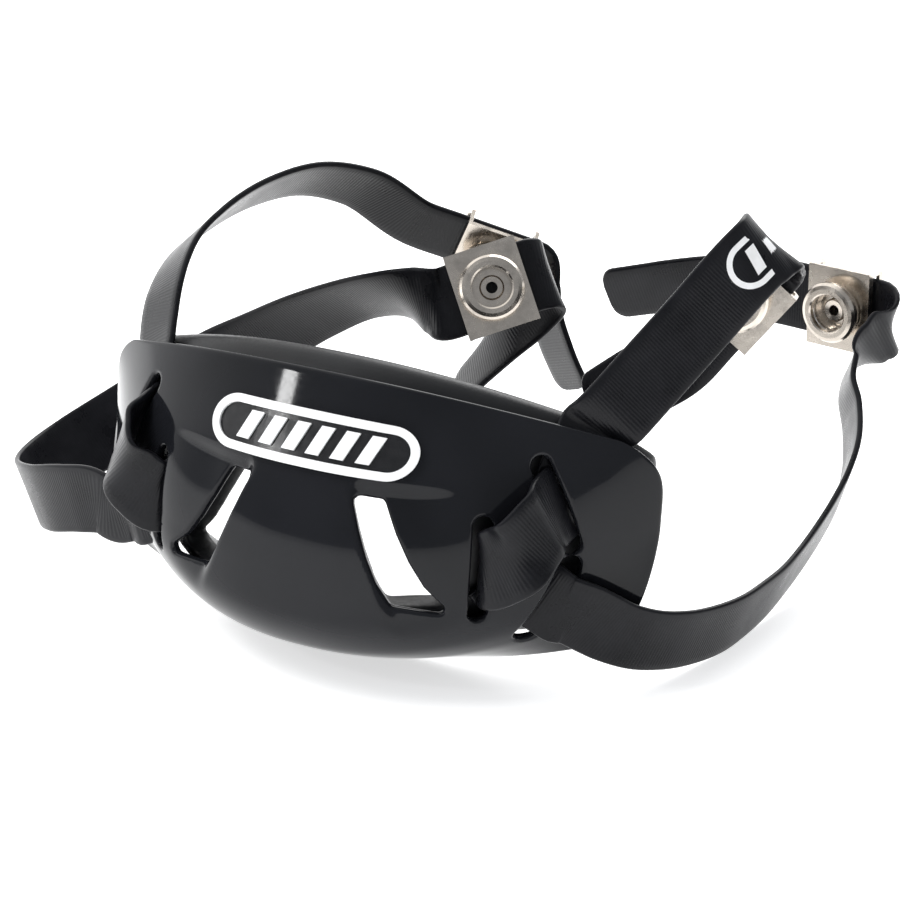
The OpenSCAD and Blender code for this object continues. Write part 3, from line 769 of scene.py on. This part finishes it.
def nickel_material(name, tint, low, high):
    """Turned and polished nickel: fine scratches, dulled patches and a warm tint."""
    n = Nodes(name)
    where = n.place()
    scratch = n.noise(where, 2200, 2)
    patch = n.noise(where, 240, 4, 0.6)
    dark = tuple(c * 0.7 for c in tint)
    n.set(Base_Color=n.colour(patch, dark, tint, 0.25, 0.6), Metallic=1.0,
          Roughness=n.between(patch, low, high), Normal=n.bump(scratch, 0.08, 0.00006))
    return n.material


def paint_material(name, low, high, roughness):
    """Moulded and painted lettering plastic, slightly uneven."""
    n = Nodes(name)
    where = n.place()
    patch = n.noise(where, 500, 3)
    n.set(Base_Color=n.colour(patch, low, high), Roughness=n.between(patch, roughness, roughness + 0.1),
          Normal=n.bump(patch, 0.05, 0.0001))
    return n.material


def floor_material():
    """Matt white, and lit a little by itself so that it stays white in the picture."""
    n = Nodes("studio floor")
    where = n.place()
    n.set(Base_Color=n.colour(n.noise(where, 3, 2), (0.93, 0.93, 0.93), (0.95, 0.95, 0.95)),
          Roughness=0.9, Specular_IOR_Level=0.1, Emission_Color=(1, 1, 1, 1), Emission_Strength=0.6)
    return n.material


def dress(node, material, bevel=0.0, angle=40):
    """Gives a CAD node its material, smooth shading and finely rounded edges."""
    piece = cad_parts[node]
    piece.data.materials.clear()
    piece.data.materials.append(material)
    if bevel:
        rounded = piece.modifiers.new("edges", "BEVEL")
        rounded.width = bevel * MM
        rounded.segments = 3
        rounded.limit_method = "ANGLE"
        rounded.angle_limit = math.radians(angle)
        rounded.harden_normals = True
    piece.data.shade_smooth()
    piece.data.set_sharp_from_angle(angle=math.radians(angle))


# ---- studio ----

def make_floor():
    mesh = bpy.data.meshes.new("floor")
    size = 6
    corners = [(-size, -size, 0), (size, -size, 0), (size, size, 0), (-size, size, 0)]
    mesh.from_pydata(corners, [], [(0, 1, 2, 3)])
    mesh.materials.append(floor_material())
    floor = bpy.data.objects.new("floor", mesh)
    bpy.context.scene.collection.objects.link(floor)


def make_light(name, place, aim, size, power, tall=None, glossy=True):
    data = bpy.data.lights.new(name, "AREA")
    data.shape = "RECTANGLE"
    data.size = size
    data.size_y = tall or size
    data.energy = power
    light = bpy.data.objects.new(name, data)
    light.location = place
    light.rotation_mode = "QUATERNION"
    light.rotation_quaternion = (Vector(aim) - Vector(place)).to_track_quat("-Z", "Y")
    light.visible_glossy = glossy
    bpy.context.scene.collection.objects.link(light)


BRIGHT_SIDE = (-0.72, 0.5, 0.48)


def make_world():
    """A dim studio: darker in front of the cup, brighter to its left, overhead and behind it."""
    world = bpy.data.worlds.new("studio")
    bpy.context.scene.world = world
    world.use_nodes = True
    tree = world.node_tree
    place = tree.nodes.new("ShaderNodeTexCoord")
    towards = tree.nodes.new("ShaderNodeVectorMath")
    towards.operation = "DOT_PRODUCT"
    towards.inputs[1].default_value = BRIGHT_SIDE
    ramp = tree.nodes.new("ShaderNodeValToRGB")
    tree.links.new(place.outputs["Generated"], towards.inputs[0])
    tree.links.new(towards.outputs["Value"], ramp.inputs[0])
    ramp.color_ramp.interpolation = "EASE"
    ramp.color_ramp.elements[0].position = 0.05
    ramp.color_ramp.elements[0].color = (0.25, 0.26, 0.275, 1)
    ramp.color_ramp.elements[1].position = 0.95
    ramp.color_ramp.elements[1].color = (1, 1, 1, 1)
    background = tree.nodes["Background"]
    tree.links.new(ramp.outputs["Color"], background.inputs["Color"])
    background.inputs["Strength"].default_value = 1.5


bpy.context.scene.view_settings.view_transform = "Standard"
make_camera()

shell_black = shell_material()
liner_black = liner_material()
strap_black = strap_material()
nickel = nickel_material("warm nickel", (0.66, 0.6, 0.53), 0.16, 0.32)
spring_wire = nickel_material("bright wire", (0.85, 0.83, 0.8), 0.1, 0.2)
badge_white = paint_material("badge white", (0.86, 0.86, 0.86), (0.93, 0.93, 0.93), 0.35)
badge_black = paint_material("badge black", (0.006, 0.006, 0.007), (0.012, 0.012, 0.013), 0.15)

shell = make_shell(shell_black)
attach(shell, "cup")
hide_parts("cup_shell")

liner = make_liner(liner_black)
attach(liner, "cup")
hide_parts("cup_liner")

dress("badge_base", badge_black, bevel=0.1)
dress("badge_ring", badge_white, bevel=0.15)
dress("badge_bars", badge_white, bevel=0.15)

lines = {}
for corner in BUCKLES:
    lines[corner] = make_strap(corner, strap_black)
    dress(corner + "_plate", nickel, bevel=0.25)
    dress(corner + "_socket", nickel)
    dress(corner + "_eyelet", nickel)
    dress(corner + "_spring", spring_wire)

make_print(lines["upper_right"], badge_white)

make_floor()
make_world()
make_light("key", (-0.55, -0.35, 0.95), (-0.02, -0.03, 0.05), 0.6, 8, glossy=False)
make_light("window", (-0.6, -0.75, 0.62), (-0.05, -0.06, 0.05), 0.09, 0.7, tall=0.06)
make_light("back", (0.0, 0.9, 0.8), (0, 0, 0.05), 0.9, 8)
